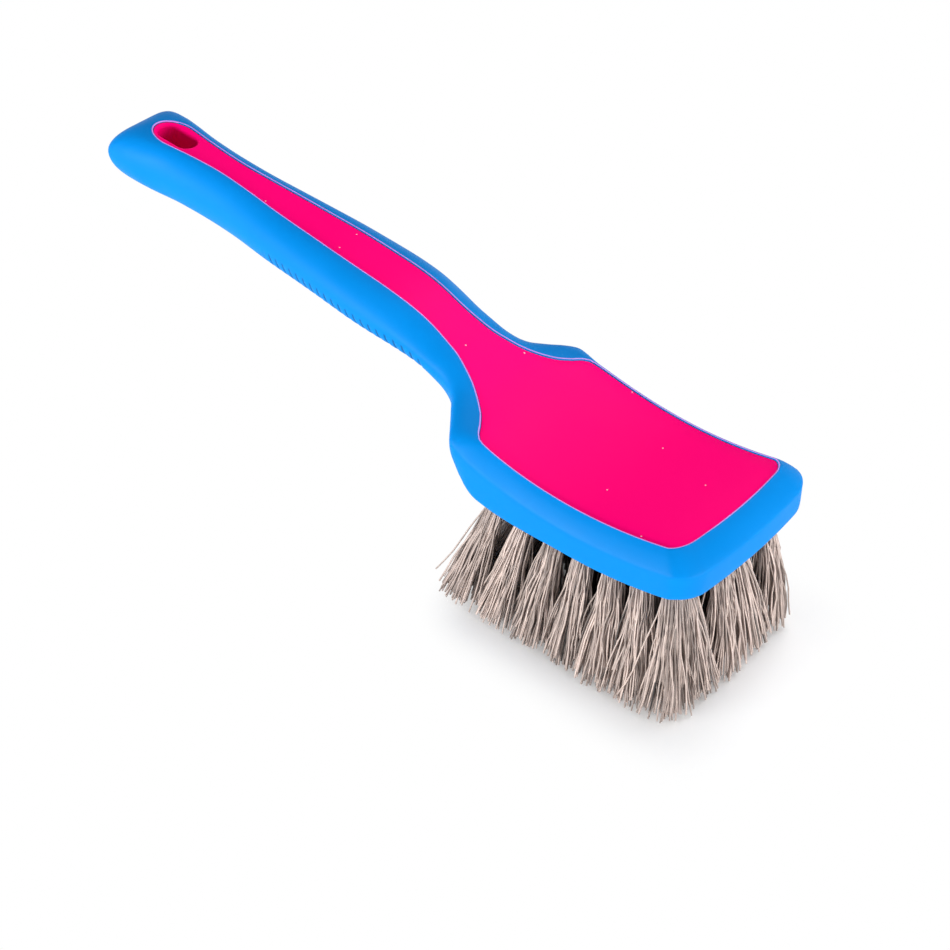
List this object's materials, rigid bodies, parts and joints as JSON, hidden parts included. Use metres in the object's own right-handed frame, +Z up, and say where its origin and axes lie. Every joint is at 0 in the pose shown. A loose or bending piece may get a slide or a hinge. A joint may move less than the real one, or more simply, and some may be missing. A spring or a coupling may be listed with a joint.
{
  "type": "tire brush",
  "caption": "Hand brush for tires: a bevelled rectangular head with splayed bristle tufts, an S-curved neck and a long soft-covered handle with a hang slot.",
  "frame": {"origin": "middle of the bristle field, on the plane of the bristle tips", "axes": "+X to the toe of the head, away from the handle; +Y to the brush's left when the handle points back; +Z up, away from the bristle tips"},
  "size_m": [0.2699, 0.0724, 0.0993],
  "materials": {
    "blue_soft_rubber": "satin",
    "pink_polypropylene": "satin",
    "black_plate_plastic": "satin",
    "zinc_plated_steel": "satin",
    "grey_bristle": "satin"
  },
  "bodies": {
    "root": {"grip_overmould": "blue_soft_rubber", "handle_core": "pink_polypropylene", "bristle_plate": "black_plate_plastic", "plate_screw_1": "zinc_plated_steel", "plate_screw_2": "zinc_plated_steel", "plate_screw_3": "zinc_plated_steel", "plate_screw_4": "zinc_plated_steel", "tuft_01": "grey_bristle", "tuft_02": "grey_bristle", "tuft_03": "grey_bristle", "tuft_04": "grey_bristle", "tuft_05": "grey_bristle", "tuft_06": "grey_bristle", "tuft_07": "grey_bristle", "tuft_08": "grey_bristle", "tuft_09": "grey_bristle", "tuft_10": "grey_bristle", "tuft_11": "grey_bristle", "tuft_12": "grey_bristle", "tuft_13": "grey_bristle", "tuft_14": "grey_bristle", "tuft_15": "grey_bristle", "tuft_16": "grey_bristle", "tuft_17": "grey_bristle", "tuft_18": "grey_bristle", "tuft_19": "grey_bristle", "tuft_20": "grey_bristle", "tuft_21": "grey_bristle", "tuft_22": "grey_bristle", "tuft_23": "grey_bristle", "tuft_24": "grey_bristle", "tuft_25": "grey_bristle", "tuft_26": "grey_bristle", "tuft_27": "grey_bristle", "tuft_28": "grey_bristle", "tuft_29": "grey_bristle", "tuft_30": "grey_bristle", "tuft_31": "grey_bristle", "tuft_32": "grey_bristle", "tuft_33": "grey_bristle"}
  },
  "joints": []
}
